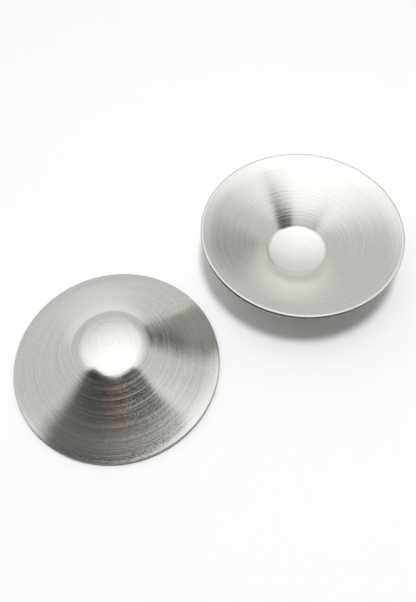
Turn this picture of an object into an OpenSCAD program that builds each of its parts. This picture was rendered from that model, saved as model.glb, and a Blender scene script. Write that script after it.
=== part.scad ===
// Finger cymbals: a pair of spun metal plates, each with a domed boss in a flared cone.
// The left plate stands on its rim, boss up. The right plate lies on its boss, hollow side up.
// Millimetres. The origin is on the table, under the middle of the pair.

/* [Plate] */
// Diameter over the rim
rim_d = 57; // [51:1:64]
// Thickness of the metal in the flare
sheet = 1.05; // [0.9:0.05:1.2]
// Rounding of the two corners of the rim's edge
corner_r = 0.35; // [0.2:0.05:0.4]
// Depth ground off the rim's lower corner, which leaves a flat ring to stand on
foot_cut = 0.06; // [0.04:0.01:0.1]

/* [Boss outside] */
// Diameter of the dome on top of the boss
dome_d = 14.6; // [14:0.2:15.4]
// Slope at the edge of the dome, in degrees
dome_slope = 11; // [9:1:13]
// Diameter of the flat spot in the middle of the dome
spot_d = 3; // [2:0.5:4]
// Width of the rounded shoulder outside the dome
shoulder_w = 3.2; // [2.8:0.1:3.6]
// Steepest slope of the boss, in degrees
side_slope = 38; // [36:1:41]
// Width of the hollow curve from the boss's side into the flare
neck_w = 4.2; // [3.4:0.1:4.6]

/* [Boss inside] */
// Diameter of the floor inside the boss
floor_d = 15.6; // [15:0.1:16.2]
// Slope at the edge of the floor, in degrees
floor_slope = 9; // [7:1:12]
// Width of the tight curve round the floor
floor_edge_w = 1.4; // [1.1:0.1:2]
// Steepest slope inside the boss, in degrees
inner_side_slope = 38; // [36:1:40]

/* [Flare] */
// Slope of the flare next to the neck, in degrees
flare_top_slope = 32; // [31:0.5:34]
// Slope of the flare next to the lip, in degrees
flare_foot_slope = 27.5; // [25:0.5:29]
// Width of the flatter lip along the rim
lip_w = 3.6; // [2:0.1:5]
// Slope of the lip at the edge, in degrees
lip_slope = 17; // [13:1:21]

/* [Layout] */
// Gap between the two rims, seen from above
rim_gap = 5.7; // [2:0.1:20]
// Direction from the left plate to the right plate, in degrees from the X axis
layout_angle = 28; // [20:1:35]

/* [Hidden] */
$fn = 180;
// Steps in each arc of the section
STEPS = 10;

rim_r = rim_d / 2;
dome_r = dome_d / 2 / sin(dome_slope);
// Radius where the upper face ends and the rounding of the edge begins
edge_start_r = rim_r - corner_r * (1 - sin(lip_slope));
neck_foot_r = dome_d / 2 + shoulder_w + neck_w;
inner_neck_foot_r = neck_foot_r - sheet * sin(flare_top_slope);
// Place of the right plate's centre. The left plate's centre lies opposite.
right_place = (rim_d + rim_gap) / 2 * [cos(layout_angle), sin(layout_angle), 0];

// Arcs of the section from the axis outwards, each tangent to the next:
// [run from left to right, slope where it starts, slope where it ends]
BOSS_OUTSIDE = [
    [dome_d / 2, 0, dome_slope],
    [shoulder_w, dome_slope, side_slope],
    [neck_w, side_slope, flare_top_slope]
];
BOSS_INSIDE = [
    [floor_d / 2, 0, floor_slope],
    [floor_edge_w, floor_slope, inner_side_slope],
    [inner_neck_foot_r - floor_d / 2 - floor_edge_w, inner_side_slope, flare_top_slope]
];
FLARE = [
    [edge_start_r - lip_w - neck_foot_r, flare_top_slope, flare_foot_slope],
    [lip_w, flare_foot_slope, lip_slope]
];

// Depth of the cut that leaves a flat of width w on a circle of radius r
function flat_cut(r, w) = r - sqrt(r * r - w * w / 4);

// Radius of an arc: positive where it turns down, negative where it turns up again
function bend_r(arc) = arc[0] / (sin(arc[2]) - sin(arc[1]));

// Point on an arc at a slope, counted from the arc's start
function on_arc(arc, slope) =
    bend_r(arc) * [sin(slope) - sin(arc[1]), cos(slope) - cos(arc[1])];

// Where arc number i of a chain starts, counted from the chain's start
function arc_start(arcs, i) =
    i == 0 ? [0, 0] : arc_start(arcs, i - 1) + on_arc(arcs[i - 1], arcs[i - 1][2]);

function step_slope(arc, k) = arc[1] + (arc[2] - arc[1]) * k / STEPS;

// Direction square to a face, up and outwards, at a slope
function square_to(slope) = [sin(slope), cos(slope)];

// The curve of a chain of arcs from a start point, moved square to itself by depth
function curve(arcs, start, depth) = [
    for (i = [0 : len(arcs) - 1])
        for (k = [(i == 0 ? 0 : 1) : STEPS])
            let (slope = step_slope(arcs[i], k))
                start + arc_start(arcs, i) + on_arc(arcs[i], slope) - depth * square_to(slope)
];

// Quarter and more of a circle round a corner of the edge, between two slopes
function rounding(centre, from, to) = [
    for (k = [0 : STEPS])
        centre + corner_r * square_to(from + (to - from) * k / STEPS)
];

function backwards(points) = [for (i = [len(points) - 1 : -1 : 0]) points[i]];

// The points without any that repeats the one before it
function without_repeats(points) = [
    for (i = [0 : len(points) - 1])
        if (i == 0 || norm(points[i] - points[i - 1]) > 0.000001) points[i]
];

neck_foot = arc_start(BOSS_OUTSIDE, 3);
floor_top = neck_foot - sheet * square_to(flare_top_slope) - arc_start(BOSS_INSIDE, 3);
edge_start = neck_foot + arc_start(FLARE, 2);
upper_corner = edge_start - corner_r * square_to(lip_slope);
// The lower face runs on straight at the lip's slope until it is under the upper corner.
lower_corner = [
    upper_corner[0],
    upper_corner[1] - (sheet - 2 * corner_r) / cos(lip_slope)
];

top_cut = flat_cut(dome_r, spot_d);
foot_z = lower_corner[1] - corner_r + foot_cut;
// Height from the flat ring on the rim to the flat spot on the dome
height = -top_cut - foot_z;

SECTION = without_repeats(concat(
    curve(BOSS_OUTSIDE, [0, 0], 0),
    curve(FLARE, neck_foot, 0),
    rounding(upper_corner, lip_slope, 90),
    rounding(lower_corner, 90, 180 + lip_slope),
    backwards(curve(FLARE, neck_foot, sheet)),
    backwards(curve(BOSS_INSIDE, floor_top, 0))
));

// One spun plate, standing on its rim with the boss up
module plate() {
    rotate_extrude()
        intersection() {
            translate([0, -foot_z])
                polygon(SECTION);
            square([rim_r, height]);
        }
}

module left_cymbal() {
    color([0.74, 0.74, 0.72])
        translate(-right_place)
            plate();
}

module right_cymbal() {
    color([0.78, 0.78, 0.76])
        translate(right_place + [0, 0, height])
            rotate([180, 0, 0])
                plate();
}

left_cymbal();
right_cymbal();
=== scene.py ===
"""Looks of the finger cymbals: two spun, lathe-brushed metal plates on a white table.

Metres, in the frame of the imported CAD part. Each plate is turned again here from the same
arcs as the CAD section, with the fine turned grooves that the CAD part leaves out.
"""
import math
import random

import bpy
from mathutils import Matrix, Vector


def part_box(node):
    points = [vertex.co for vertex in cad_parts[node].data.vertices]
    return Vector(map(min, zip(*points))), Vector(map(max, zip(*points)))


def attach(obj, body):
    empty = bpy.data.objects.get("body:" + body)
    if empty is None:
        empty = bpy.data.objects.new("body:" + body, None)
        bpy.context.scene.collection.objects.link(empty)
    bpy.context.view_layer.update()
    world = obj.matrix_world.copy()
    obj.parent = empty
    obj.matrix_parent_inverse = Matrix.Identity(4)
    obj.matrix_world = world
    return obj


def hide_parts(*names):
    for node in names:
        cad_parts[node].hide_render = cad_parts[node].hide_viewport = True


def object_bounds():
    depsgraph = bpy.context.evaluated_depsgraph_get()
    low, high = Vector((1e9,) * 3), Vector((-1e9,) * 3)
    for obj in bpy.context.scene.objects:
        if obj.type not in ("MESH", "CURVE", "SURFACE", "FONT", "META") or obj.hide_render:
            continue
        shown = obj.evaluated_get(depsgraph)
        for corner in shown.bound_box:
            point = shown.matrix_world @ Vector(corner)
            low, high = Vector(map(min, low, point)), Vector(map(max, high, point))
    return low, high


MM = 0.001

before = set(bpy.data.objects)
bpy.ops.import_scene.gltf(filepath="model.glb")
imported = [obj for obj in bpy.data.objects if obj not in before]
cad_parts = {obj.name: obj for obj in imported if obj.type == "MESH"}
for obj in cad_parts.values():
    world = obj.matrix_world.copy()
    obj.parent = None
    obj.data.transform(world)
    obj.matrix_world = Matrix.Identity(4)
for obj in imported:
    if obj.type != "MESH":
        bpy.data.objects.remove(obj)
cad_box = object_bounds()

# ---------------------------------------------------------------- sizes
# The section's driving sizes, as in the CAD part, in millimetres and degrees.
SHEET = 1.05
CORNER_R = 0.35
FOOT_CUT = 0.06
DOME_D = 14.6
DOME_SLOPE = 11.0
SPOT_D = 3.0
SHOULDER_W = 3.2
SIDE_SLOPE = 38.0
NECK_W = 4.2
FLOOR_D = 15.6
FLOOR_SLOPE = 9.0
FLOOR_EDGE_W = 1.4
INNER_SIDE_SLOPE = 38.0
FLARE_TOP_SLOPE = 32.0
FLARE_FOOT_SLOPE = 27.5
LIP_W = 3.6
LIP_SLOPE = 17.0

SEGMENTS = 224        # round the plate
FACE_RINGS = 205      # along each face, from the axis to the rim
CORNER_RINGS = 6      # round each corner of the rim's edge

# Turned grooves in the mesh: number of waves, their lengths in mm, depth as a share of the length
GROOVE_WAVES = 20
GROOVE_LENGTHS = (0.6, 1.4)
GROOVE_SHARE = 0.0003

left_low, left_high = (Vector(c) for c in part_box("left_cymbal"))
right_low, right_high = (Vector(c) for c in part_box("right_cymbal"))
rim_r = (left_high.x - left_low.x) / 2
rim_mm = rim_r / MM
left_centre = (left_low + left_high) / 2
right_centre = (right_low + right_high) / 2


# ---------------------------------------------------------------- section
def sin(degrees):
    return math.sin(math.radians(degrees))


def cos(degrees):
    return math.cos(math.radians(degrees))


def bend_r(arc):
    run, start, end = arc
    return run / (sin(end) - sin(start))


def fall(arcs):
    """Height from the start of a chain of arcs to its end, negative downwards."""
    return sum(bend_r(arc) * (cos(arc[2]) - cos(arc[1])) for arc in arcs)


def section_arcs():
    """The arcs of the two faces from the axis outwards: run, slope at the start, slope at the end."""
    neck_foot_r = DOME_D / 2 + SHOULDER_W + NECK_W
    edge_start_r = rim_mm - CORNER_R * (1 - sin(LIP_SLOPE))
    inner_side_w = neck_foot_r - SHEET * sin(FLARE_TOP_SLOPE) - FLOOR_D / 2 - FLOOR_EDGE_W
    boss_outside = [
        (DOME_D / 2, 0, DOME_SLOPE),
        (SHOULDER_W, DOME_SLOPE, SIDE_SLOPE),
        (NECK_W, SIDE_SLOPE, FLARE_TOP_SLOPE),
    ]
    boss_inside = [
        (FLOOR_D / 2, 0, FLOOR_SLOPE),
        (FLOOR_EDGE_W, FLOOR_SLOPE, INNER_SIDE_SLOPE),
        (inner_side_w, INNER_SIDE_SLOPE, FLARE_TOP_SLOPE),
    ]
    flare = [
        (edge_start_r - LIP_W - neck_foot_r, FLARE_TOP_SLOPE, FLARE_FOOT_SLOPE),
        (LIP_W, FLARE_FOOT_SLOPE, LIP_SLOPE),
    ]
    return boss_outside, boss_inside, flare


def face_points(arcs, top):
    """Points (radius, height, slope) along a face that starts on the axis, spaced evenly along it."""
    lengths = [abs(bend_r(arc) * math.radians(arc[2] - arc[1])) for arc in arcs]
    step = sum(lengths) / (FACE_RINGS - 1)
    points = []
    r0 = passed = 0.0
    z0 = top
    for arc, length in zip(arcs, lengths):
        run, start, end = arc
        while len(points) * step <= passed + length + 1e-9 and len(points) < FACE_RINGS:
            slope = start + (end - start) * (len(points) * step - passed) / length
            points.append((
                r0 + bend_r(arc) * (sin(slope) - sin(start)),
                z0 + bend_r(arc) * (cos(slope) - cos(start)),
                slope,
            ))
        r0 += run
        z0 += fall([arc])
        passed += length
    return points


def grooved(face, depth_sign, seed):
    """The face with fine turned grooves cut into it, as points (radius, height)."""
    rng = random.Random(seed)
    waves = []
    for _ in range(GROOVE_WAVES):
        length = rng.uniform(*GROOVE_LENGTHS)
        waves.append((2 * math.pi / length, rng.uniform(0, 2 * math.pi), GROOVE_SHARE * length))
    step = math.dist(face[0][:2], face[1][:2])
    points = []
    for i, (r, z, slope) in enumerate(face):
        depth = sum(a * (1 + math.sin(k * i * step + p)) for k, p, a in waves)
        # The grooves fade out at the rim, so that the edge stays true.
        depth *= depth_sign * min(1.0, (len(face) - 1 - i) / 8)
        points.append((max(0.0, r - depth * sin(slope)), z - depth * cos(slope)))
    return points


def corner(r, z, start, end):
    """Points round one corner of the rim's edge, between two slopes."""
    slopes = [start + (end - start) * k / CORNER_RINGS for k in range(CORNER_RINGS + 1)]
    return [(r + CORNER_R * sin(a), z + CORNER_R * cos(a)) for a in slopes]


def plate_section(seed):
    """Closed outline (radius, height) in mm of one plate, boss up, from the axis's top to its bottom."""
    boss_outside, boss_inside, flare = section_arcs()
    # The lower face of the flare runs one sheet under the upper face.
    under = [(run - SHEET * (sin(end) - sin(start)), start, end) for run, start, end in flare]
    floor_z = fall(boss_outside) - SHEET * cos(FLARE_TOP_SLOPE) - fall(boss_inside)
    upper = face_points(boss_outside + flare, 0.0)
    lower = face_points(boss_inside + under, floor_z)

    corner_r = upper[-1][0] - CORNER_R * sin(LIP_SLOPE)
    upper_z = upper[-1][1] - CORNER_R * cos(LIP_SLOPE)
    lower_z = upper_z - (SHEET - 2 * CORNER_R) / cos(LIP_SLOPE)
    edge = corner(corner_r, upper_z, LIP_SLOPE, 90) + corner(corner_r, lower_z, 90, 180 + LIP_SLOPE)

    foot_z = lower_z - CORNER_R + FOOT_CUT
    dome_r = DOME_D / 2 / sin(DOME_SLOPE)
    top_z = math.sqrt(dome_r ** 2 - SPOT_D ** 2 / 4) - dome_r
    outline = grooved(upper, 1, seed) + edge[1:] + grooved(lower, -1, seed + 1)[::-1]
    return [(r, min(max(z, foot_z), top_z) - foot_z) for r, z in outline]


# ---------------------------------------------------------------- plates
def turned(name, outline, centre, flipped):
    """The outline turned about the vertical axis, as one closed mesh object."""
    height = max(z for _, z in outline)
    verts = []
    faces = []
    rings = []
    for r, z in outline:
        z = (height - z if flipped else z) * MM
        if r < 1e-4:
            rings.append([len(verts)])
            verts.append((0, 0, z))
            continue
        rings.append(list(range(len(verts), len(verts) + SEGMENTS)))
        for k in range(SEGMENTS):
            a = 2 * math.pi * k / SEGMENTS
            verts.append((r * MM * math.cos(a), r * MM * math.sin(a), z))
    for inner, outer in zip(rings, rings[1:]):
        for k in range(SEGMENTS):
            n = (k + 1) % SEGMENTS
            if len(inner) == 1:
                face = (inner[0], outer[k], outer[n])
            elif len(outer) == 1:
                face = (inner[k], outer[0], inner[n])
            else:
                face = (inner[k], outer[k], outer[n], inner[n])
            faces.append(face[::-1] if flipped else face)
    mesh = bpy.data.meshes.new(name)
    mesh.from_pydata(verts, [], faces)
    mesh.shade_smooth()
    mesh.validate()
    plate = bpy.data.objects.new(name, mesh)
    plate.location = (centre.x, centre.y, 0)
    bpy.context.collection.objects.link(plate)
    return plate


# ---------------------------------------------------------------- node helpers
class Nodes:
    """Short calls for building a node tree."""

    def __init__(self, tree):
        self.tree = tree

    def new(self, kind, **inputs):
        node = self.tree.nodes.new(kind)
        for name, value in inputs.items():
            self.set(node, name.replace("_", " "), value)
        return node

    def set(self, node, name, value):
        if isinstance(value, bpy.types.NodeSocket):
            self.tree.links.new(value, node.inputs[name])
        else:
            node.inputs[name].default_value = value

    def math(self, operation, *values, clamp=False):
        node = self.tree.nodes.new("ShaderNodeMath")
        node.operation = operation
        node.use_clamp = clamp
        for i, value in enumerate(values):
            self.set(node, i, value)
        return node.outputs[0]

    def span(self, value, low, high, to_low=0.0, to_high=1.0):
        """Smooth step of a value from low to high."""
        node = self.tree.nodes.new("ShaderNodeMapRange")
        node.interpolation_type = "SMOOTHSTEP"
        for i, v in enumerate((value, low, high, to_low, to_high)):
            self.set(node, i, v)
        return node.outputs[0]

    def window(self, value, low, high, soft):
        """1 between low and high, falling smoothly to 0 over soft on both sides."""
        rise = self.span(value, low - soft, low + soft)
        fall = self.span(value, high - soft, high + soft, 1.0, 0.0)
        return self.math("MULTIPLY", rise, fall)

    def mix(self, share, a, b):
        node = self.tree.nodes.new("ShaderNodeMix")
        node.data_type = "RGBA"
        self.set(node, 0, share)
        self.set(node, 6, a)
        self.set(node, 7, b)
        return node.outputs[2]

    def xyz(self, x, y, z):
        node = self.tree.nodes.new("ShaderNodeCombineXYZ")
        for i, value in enumerate((x, y, z)):
            self.set(node, i, value)
        return node.outputs[0]

    def noise(self, vector, scale, detail=2.0, roughness=0.5):
        node = self.tree.nodes.new("ShaderNodeTexNoise")
        self.set(node, "Vector", vector)
        self.set(node, "Scale", scale)
        self.set(node, "Detail", detail)
        self.set(node, "Roughness", roughness)
        return node.outputs["Fac"]


# ---------------------------------------------------------------- material
def brushed_metal(name, shift):
    """Lathe-brushed metal. Its grain runs round the object's own upright axis."""
    material = bpy.data.materials.new(name)
    material.use_nodes = True
    tree = material.node_tree
    tree.nodes.clear()
    n = Nodes(tree)
    place = n.new("ShaderNodeTexCoord").outputs["Object"]
    split = n.new("ShaderNodeSeparateXYZ", Vector=place)
    x, y, z = split.outputs
    radius = n.math("SQRT", n.math("ADD", n.math("MULTIPLY", x, x), n.math("MULTIPLY", y, y)))
    radius_mm = n.math("DIVIDE", radius, MM)
    safe = n.math("MAXIMUM", radius, 1e-6)
    ca = n.math("DIVIDE", x, safe)
    sa = n.math("DIVIDE", y, safe)
    along = n.math("ADD", radius_mm, n.math("MULTIPLY", z, 0.6 / MM))

    def grain(rings_per_mm, arcs, detail=2.0, seed=0.0):
        """Noise drawn out round the plate: fine from ring to ring, long along each ring."""
        rings = n.math("ADD", n.math("MULTIPLY", along, rings_per_mm), shift + seed)
        vector = n.xyz(n.math("MULTIPLY", ca, arcs), n.math("MULTIPLY", sa, arcs), rings)
        return n.noise(vector, 1.0, detail)

    # The seeds only keep the four layers apart.
    wide_rings = grain(1.3, 0.05, 1.0, 83.0)
    fine_rings = grain(4.6, 0.05, 1.0)
    long_arcs = grain(3.8, 1.4, 2.0, 31.0)
    speckle = grain(3.0, 55.0, 1.0, 57.0)

    def swing(value, spread):
        """A noise value turned into one that swings round 0, with its peaks cut at the spread."""
        return n.span(value, 0.30, 0.70, -spread, spread)

    def total(*values):
        result = values[0]
        for value in values[1:]:
            result = n.math("ADD", result, value)
        return result

    height = total(
        n.math("MULTIPLY", wide_rings, 0.36),
        n.math("MULTIPLY", fine_rings, 0.46),
        n.math("MULTIPLY", long_arcs, 0.25),
        n.math("MULTIPLY", speckle, 0.12),
    )
    on_face = n.span(radius, 0.98 * rim_r, 0.987 * rim_r, 1.0, 0.0)
    bump = n.new("ShaderNodeBump", Height=height, Strength=on_face)
    bump.inputs["Distance"].default_value = 0.03 * MM

    fine = total(swing(wide_rings, 0.2), swing(fine_rings, 0.5), swing(long_arcs, 0.3))
    tone = n.math("ADD", total(fine, swing(speckle, 0.35)), 0.5, clamp=True)
    face_colour = n.mix(tone, (0.705, 0.705, 0.67, 1), (0.785, 0.785, 0.747, 1))
    # The metal is a little darker along the rim. The cut side of its edge is painted near black: a
    # painted dark reflection, far darker than dull metal.
    at_rim = n.span(radius, 0.984 * rim_r, 0.989 * rim_r)
    cut_side_painted_dark = n.span(radius, 0.9975 * rim_r, 0.9992 * rim_r)
    colour = n.mix(at_rim, face_colour, (0.66, 0.66, 0.64, 1))
    colour = n.mix(cut_side_painted_dark, colour, (0.05, 0.05, 0.045, 1))
    rough = total(n.math("MULTIPLY", fine, 0.09), swing(speckle, 0.03), 0.165)

    tangent = tree.nodes.new("ShaderNodeTangent")
    tangent.direction_type = "RADIAL"
    tangent.axis = "Z"

    shader = tree.nodes.new("ShaderNodeBsdfPrincipled")
    shader.inputs["Metallic"].default_value = 1.0
    shader.inputs["Anisotropic"].default_value = 0.9
    shader.inputs["Anisotropic Rotation"].default_value = 0.25
    n.set(shader, "Base Color", colour)
    n.set(shader, "Roughness", rough)
    n.set(shader, "Normal", bump.outputs["Normal"])
    n.set(shader, "Tangent", tangent.outputs["Tangent"])
    output = tree.nodes.new("ShaderNodeOutputMaterial")
    n.set(output, "Surface", shader.outputs[0])
    return material


# ---------------------------------------------------------------- studio
def plain_material(name, colour, roughness):
    material = bpy.data.materials.new(name)
    material.use_nodes = True
    shader = material.node_tree.nodes["Principled BSDF"]
    shader.inputs["Base Color"].default_value = (*colour, 1)
    shader.inputs["Roughness"].default_value = roughness
    shader.inputs["Specular IOR Level"].default_value = 0.2
    return material


def table_top():
    """A plain square table, 4 m wide, at the foot of the CAD part."""
    half = 2.0
    corners = [(-half, -half, 0), (half, -half, 0), (half, half, 0), (-half, half, 0)]
    mesh = bpy.data.meshes.new("table_top")
    mesh.from_pydata(corners, [], [(0, 1, 2, 3)])
    table = bpy.data.objects.new("table_top", mesh)
    table.location = (0, 0, cad_box[0][2])
    bpy.context.collection.objects.link(table)
    mesh.materials.append(plain_material("white_table", (0.93, 0.93, 0.93), 0.6))


def reflected_card(name, centre, radius, start, end, low, high, build):
    """An upright arc round a centre, which shows only in the metal.

    build(n, side, z) gives its cover and its glow. The angle side is in degrees, 0 towards the
    viewer and positive to the right. The radius and the heights are in rim radii.
    """
    steps = 48
    verts = []
    for k in range(steps + 1):
        a = start + (end - start) * k / steps
        verts += [(radius * rim_r * cos(a), radius * rim_r * sin(a), z * rim_r) for z in (low, high)]
    faces = [(2 * k, 2 * k + 2, 2 * k + 3, 2 * k + 1) for k in range(steps)]
    mesh = bpy.data.meshes.new(name)
    mesh.from_pydata(verts, [], faces)
    card = bpy.data.objects.new(name, mesh)
    card.location = (centre.x, centre.y, 0)
    bpy.context.collection.objects.link(card)

    material = bpy.data.materials.new(name)
    material.use_nodes = True
    tree = material.node_tree
    tree.nodes.clear()
    n = Nodes(tree)
    place = n.new("ShaderNodeTexCoord").outputs["Object"]
    x, y, z = n.new("ShaderNodeSeparateXYZ", Vector=place).outputs
    side = n.math("MULTIPLY", n.math("ARCTAN2", x, n.math("MULTIPLY", y, -1.0)), 180 / math.pi)
    cover, glow = build(n, side, n.math("DIVIDE", z, rim_r))
    mixer = n.new("ShaderNodeMixShader")
    n.set(mixer, 0, cover)
    n.set(mixer, 1, n.new("ShaderNodeBsdfTransparent").outputs[0])
    n.set(mixer, 2, n.new("ShaderNodeEmission", Color=glow).outputs[0])
    n.set(n.new("ShaderNodeOutputMaterial"), "Surface", mixer.outputs[0])
    mesh.materials.append(material)
    card.visible_camera = False
    card.visible_shadow = False
    card.visible_diffuse = False


def front_card(n, side, z):
    """The viewer's dark side. Its top slopes down and its left edge leans in towards the right."""
    top = n.math("ADD", z, n.math("MULTIPLY", side, 0.02))
    left = n.math("ADD", side, n.math("MULTIPLY", z, 6.5))
    cover = n.math(
        "MULTIPLY",
        n.math("MULTIPLY", n.span(left, -65, -47), n.span(side, 43, 61, 1.0, 0.0)),
        n.span(top, 1.8, 2.35, 1.0, 0.0),
    )
    warm = n.window(side, -16, 14, 8)
    deep = n.mix(warm, (0.03, 0.03, 0.028, 1), (0.082, 0.046, 0.034, 1))
    # It is lighter low down, and most of all on its right.
    low = n.span(z, 0.7, 1.35, 1.0, 0.0)
    pale = n.span(side, -40, 45, 0.16, 0.55)
    return cover, n.mix(low, deep, pale)


def gap_shade_card(n, side, z):
    """Painted shade: a dark card, seen only in the metal, for the shaded gap over the right plate's rim,
    as the left plate sees it.
    """
    cover = n.math("MULTIPLY", n.window(side, 98, 128, 14), n.window(z, 0.10, 0.66, 0.08))
    dark = n.window(z, 0.44, 0.68, 0.07)
    return n.math("MULTIPLY", cover, 0.9), n.mix(dark, (0.33, 0.33, 0.32, 1), (0.08, 0.08, 0.075, 1))


def sky():
    """Soft white tent: a bright top, an even wall, and darker parts on the viewer's side."""
    world = bpy.data.worlds.new("tent")
    bpy.context.scene.world = world
    world.use_nodes = True
    tree = world.node_tree
    tree.nodes.clear()
    n = Nodes(tree)
    direction = n.new("ShaderNodeTexCoord").outputs["Generated"]
    x, y, z = n.new("ShaderNodeSeparateXYZ", Vector=direction).outputs
    up = n.math("MULTIPLY", n.math("ARCSINE", z), 180 / math.pi)
    # 0 towards the viewer, positive to the right
    side = n.math("MULTIPLY", n.math("ARCTAN2", x, n.math("MULTIPLY", y, -1.0)), 180 / math.pi)

    def blob(side_low, side_high, side_soft, up_low, up_high, up_soft):
        return n.math(
            "MULTIPLY",
            n.window(side, side_low, side_high, side_soft),
            n.window(up, up_low, up_high, up_soft),
        )

    grey = n.math("ADD", n.span(up, 36, 62, 0.66, 1.22), n.span(up, 62, 72, 0.0, 0.26))
    # darker parts: (share, dark level, side from, to, soft edge, height from, to, soft edge)
    for share, level, *place in (
        (0.60, 0.30, -70, 20, 14, 4, 59, 5),
        (1.00, 0.10, 14, 57, 7, 2, 60, 4),
        (0.50, 0.20, 110, 144, 10, -30, 31, 8),
    ):
        dark = n.math("MULTIPLY", blob(*place), share)
        kept = n.math("MULTIPLY", grey, n.math("SUBTRACT", 1.0, dark))
        grey = n.math("ADD", kept, n.math("MULTIPLY", dark, level))
    # The tent itself looks plain and pale: its darker parts show only in the metal.
    path = n.new("ShaderNodeLightPath").outputs
    colour = n.mix(path["Is Camera Ray"], grey, (0.9, 0.9, 0.9, 1))
    back = tree.nodes.new("ShaderNodeBackground")
    n.set(back, "Color", colour)
    # The table is lit mostly from behind and from the left, so that the shadows lie towards
    # the viewer.
    behind = n.math("SUBTRACT", n.math("MULTIPLY", y, 0.96), n.math("MULTIPLY", x, 0.28))
    for_table = n.span(behind, -0.45, 0.30, 0.0, 1.0)
    diffuse = path["Is Diffuse Ray"]
    on_table = n.math("MULTIPLY", diffuse, for_table)
    n.set(back, "Strength", n.math("ADD", n.math("SUBTRACT", 1.0, diffuse), on_table))
    output = tree.nodes.new("ShaderNodeOutputWorld")
    n.set(output, "Surface", back.outputs[0])


def overhead_light():
    """A small soft light straight above the right plate. It doesn't show in the metal."""
    data = bpy.data.lights.new("overhead", "AREA")
    data.shape = "DISK"
    data.size = 0.18
    data.energy = 3.5
    light = bpy.data.objects.new("overhead", data)
    light.location = (right_centre.x, right_centre.y, 0.8)
    light.visible_glossy = False
    bpy.context.collection.objects.link(light)


# ---------------------------------------------------------------- camera
def camera():
    """The viewer looks steeply down from in front, a little to the left. Angles are in degrees."""
    place = Vector((-0.291, -2.99, 5.337)) * rim_r
    down = 59.53
    roll = -5.74
    ahead = Vector((0, cos(down), -sin(down)))
    right = Vector((1, 0, 0))
    up = right.cross(ahead)
    side = right * cos(roll) + up * sin(roll)
    top = up * cos(roll) - right * sin(roll)
    data = bpy.data.cameras.new("viewer")
    data.sensor_width = 36.0
    data.lens = 36.02
    data.shift_x = 0.046
    data.shift_y = -0.0075
    data.clip_start = 0.005
    seen_from = bpy.data.objects.new("viewer", data)
    turn = Matrix((side, top, -ahead)).transposed().to_4x4()
    seen_from.matrix_world = Matrix.Translation(place) @ turn
    bpy.context.collection.objects.link(seen_from)
    bpy.context.scene.camera = seen_from


def cymbals():
    """The two plates. The right one is turned over, and its grooves and grain differ from the left's."""
    left = turned("left_spun_plate", plate_section(3), left_centre, False)
    right = turned("right_spun_plate", plate_section(8), right_centre, True)
    left.data.materials.append(brushed_metal("left_brushed_metal", 0.0))
    right.data.materials.append(brushed_metal("right_brushed_metal", 400.0))
    for plate, node, body in (
        (left, "left_cymbal", "left_plate"),
        (right, "right_cymbal", "right_plate"),
    ):
        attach(plate, body)
        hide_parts(node)


camera()
sky()
overhead_light()
table_top()
reflected_card("front_card", left_centre, 1.5, 180, 335, 0.0, 3.5, front_card)
# A dark card seen only in the metal: painted shade in the gap between the plates.
reflected_card("gap_shade_card", left_centre, 1.15, -10, 60, 0.0, 0.8, gap_shade_card)
cymbals()
bpy.context.scene.view_settings.view_transform = "Standard"
